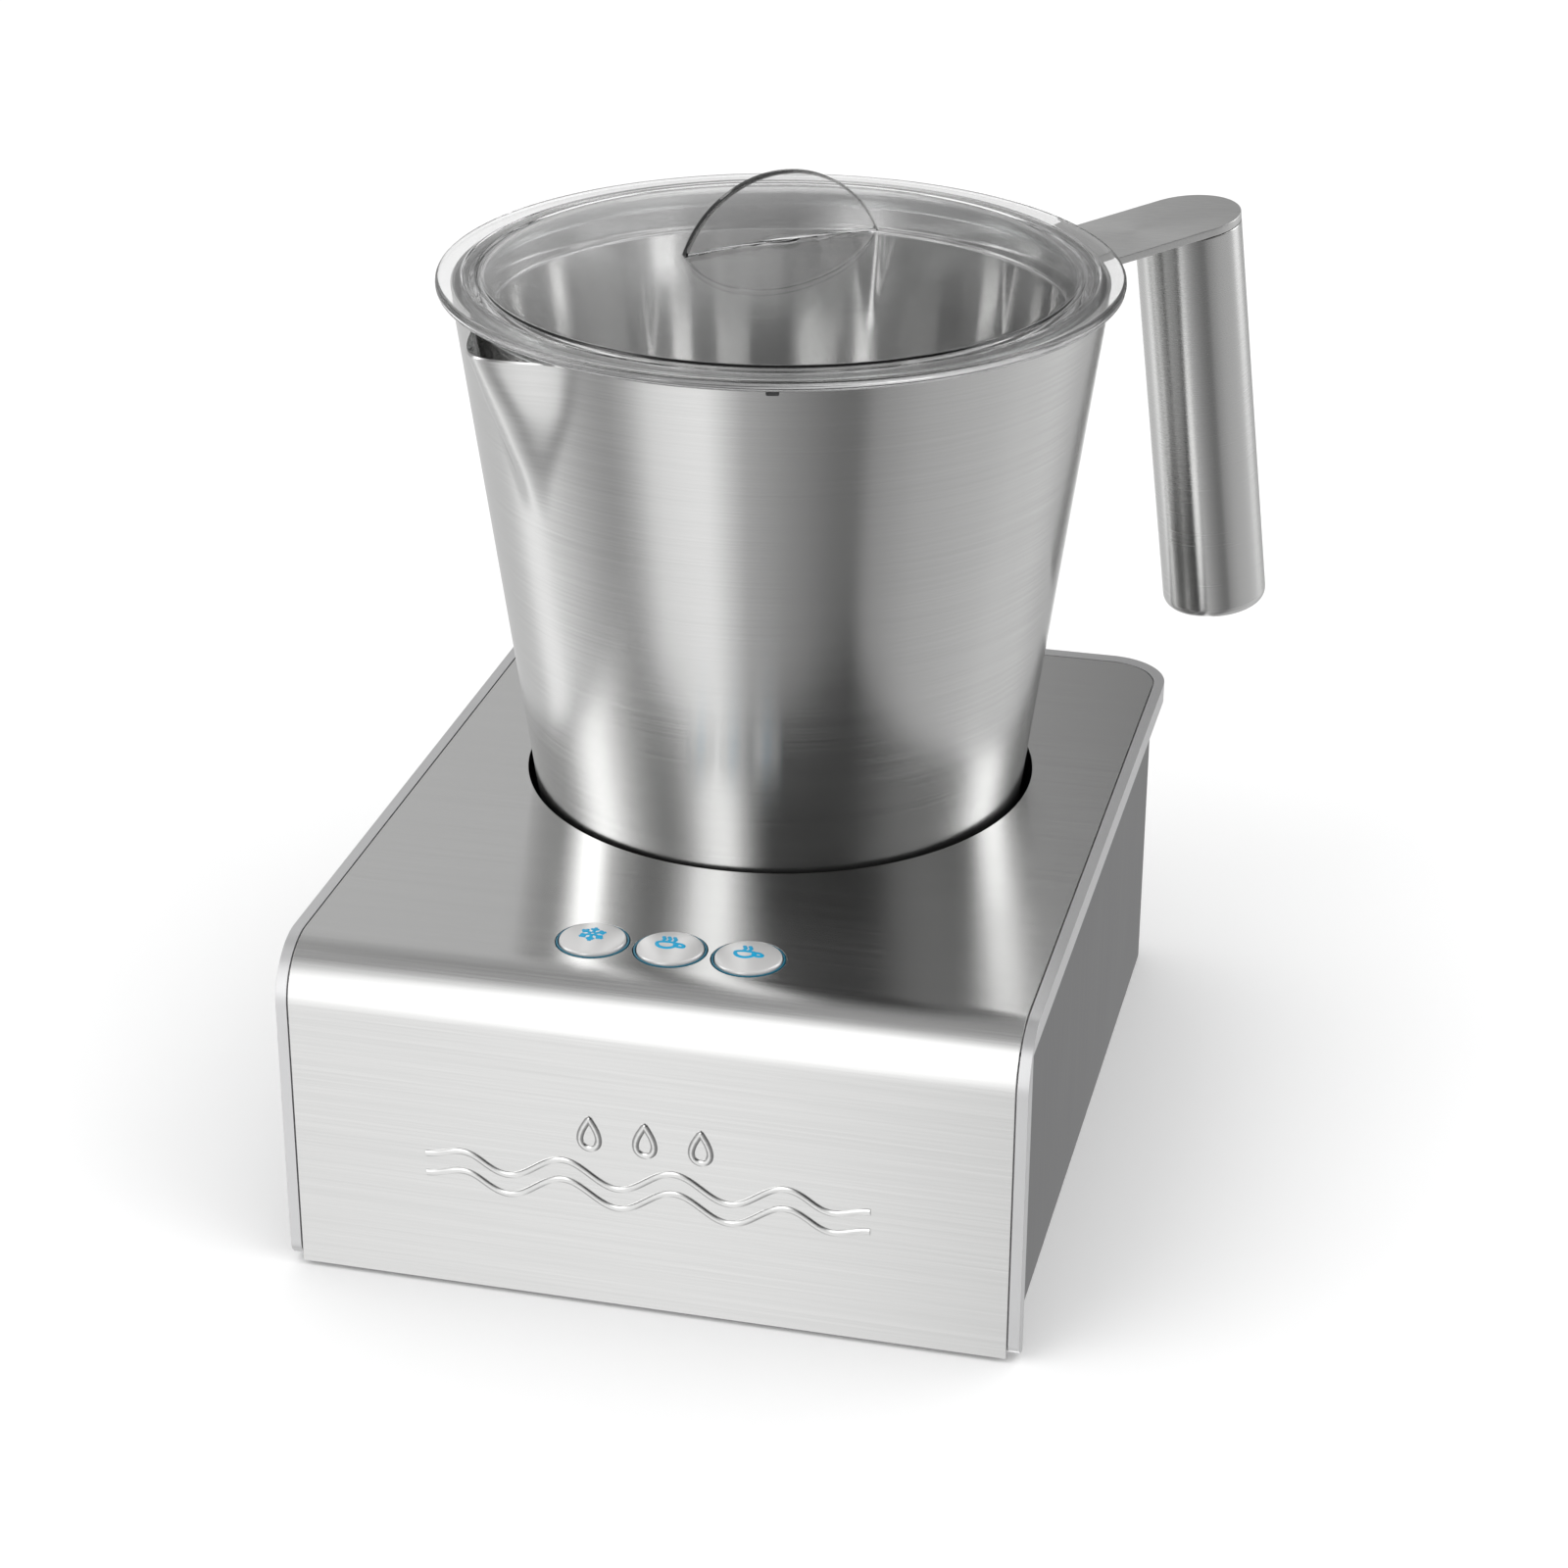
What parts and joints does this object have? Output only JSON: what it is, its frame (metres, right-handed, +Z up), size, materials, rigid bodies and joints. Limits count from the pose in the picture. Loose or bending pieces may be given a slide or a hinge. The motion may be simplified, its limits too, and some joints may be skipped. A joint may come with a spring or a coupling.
{
  "type": "milk frother",
  "caption": "Countertop milk frother: a steel-clad base with a well and push buttons holds a lift-off jug with a spout, an offset handle, a magnet-driven whisk and a clear lid.",
  "frame": {"origin": "centre of the object's box in plan, on the surface that it stands on", "axes": "+Z up, -Y towards the user at the button side, +X to the user's right"},
  "size_m": [0.1742, 0.1944, 0.2073],
  "materials": {
    "brushed_steel": "fine brushed",
    "silver_plastic": "satin",
    "black_plastic": "satin",
    "dark_rubber": "matte",
    "clear_plastic": "clear, polished",
    "seal_silicone": "translucent",
    "light_guide": "gloss",
    "button_silver": "satin metallised",
    "circuit_board": "lacquered",
    "copper_winding": "enamelled copper wire",
    "ferrite": "matt",
    "aluminium": "plain",
    "zinc_steel": "zinc plated",
    "white_plastic": "matt"
  },
  "bodies": {
    "base": {"base_plate": "black_plastic", "base_screw_1": "zinc_steel", "base_screw_2": "zinc_steel", "base_screw_3": "zinc_steel", "base_screw_4": "zinc_steel", "capacitor": "black_plastic", "choke": "copper_winding", "coil_carrier": "white_plastic", "control_board": "circuit_board", "cord_gland": "dark_rubber", "drive_motor": "zinc_steel", "fan_frame": "black_plastic", "ferrite_1": "ferrite", "ferrite_2": "ferrite", "ferrite_3": "ferrite", "ferrite_4": "ferrite", "foot_1": "dark_rubber", "foot_2": "dark_rubber", "foot_3": "dark_rubber", "foot_4": "dark_rubber", "heat_sink": "aluminium", "housing": "silver_plastic", "induction_coil": "copper_winding", "light_ring_1": "light_guide", "light_ring_2": "light_guide", "light_ring_3": "light_guide", "power_board": "circuit_board", "sensor_spring": "zinc_steel", "steel_cover": "brushed_steel", "switch_body_1": "black_plastic", "switch_body_2": "black_plastic", "switch_body_3": "black_plastic", "terminal_block": "white_plastic", "well_cup": "black_plastic", "well_seal": "dark_rubber"},
    "jug": {"jug_body": "brushed_steel", "jug_disc": "zinc_steel", "whisk_pin": "zinc_steel", "handle_arm": "brushed_steel", "handle_tube": "brushed_steel"},
    "lid_body": {"lid": "clear_plastic", "lid_seal": "seal_silicone"},
    "whisk": {"whisk_hub": "black_plastic", "whisk_coil": "zinc_steel", "whisk_magnet_1": "zinc_steel", "whisk_magnet_2": "zinc_steel"},
    "rotor": {"motor_shaft": "zinc_steel", "magnet_rotor": "white_plastic", "drive_magnet_1": "zinc_steel", "drive_magnet_2": "zinc_steel"},
    "fan_wheel": {"fan_rotor": "black_plastic"},
    "sensor": {"sensor_cap": "aluminium"},
    "button_left": {"button_1": "button_silver", "switch_plunger_1": "dark_rubber"},
    "button_middle": {"button_2": "button_silver", "switch_plunger_2": "dark_rubber"},
    "button_right": {"button_3": "button_silver", "switch_plunger_3": "dark_rubber"}
  },
  "joints": [
    {"name": "jug_lift", "type": "slide", "parent": "base", "child": "jug", "axis": [0, 0, 1], "range_m": [0, 0.06]},
    {"name": "lid_lift", "type": "slide", "parent": "jug", "child": "lid_body", "axis": [0, 0, 1], "range_m": [0, 0.04]},
    {"name": "rotor_spin", "type": "hinge", "parent": "base", "child": "rotor", "pos_m": [-0.01053, 0.01416, 0.04], "axis": [0, 0, 1], "continuous": true},
    {"name": "whisk_spin", "type": "hinge", "parent": "jug", "child": "whisk", "pos_m": [-0.01053, 0.01416, 0.05], "axis": [0, 0, 1], "continuous": true},
    {"name": "fan_spin", "type": "hinge", "parent": "base", "child": "fan_wheel", "pos_m": [-0.05153, 0.04416, 0.0112], "axis": [0, 0, 1], "continuous": true},
    {"name": "sensor_press", "type": "slide", "parent": "base", "child": "sensor", "axis": [0, 0, -1], "range_m": [0, 0.0015], "stiffness_N_per_m": 200, "springref_m": -0.001, "deforming": ["sensor_spring"]},
    {"name": "button_press_left", "type": "slide", "parent": "base", "child": "button_left", "axis": [0, 0, -1], "range_m": [0, 0.0008], "stiffness_N_per_m": 400, "springref_m": -0.0005},
    {"name": "button_press_middle", "type": "slide", "parent": "base", "child": "button_middle", "axis": [0, 0, -1], "range_m": [0, 0.0008], "stiffness_N_per_m": 400, "springref_m": -0.0005},
    {"name": "button_press_right", "type": "slide", "parent": "base", "child": "button_right", "axis": [0, 0, -1], "range_m": [0, 0.0008], "stiffness_N_per_m": 400, "springref_m": -0.0005}
  ],
  "couplings": [
    {"joint": "whisk_spin", "follows": "rotor_spin", "ratio": 1}
  ]
}
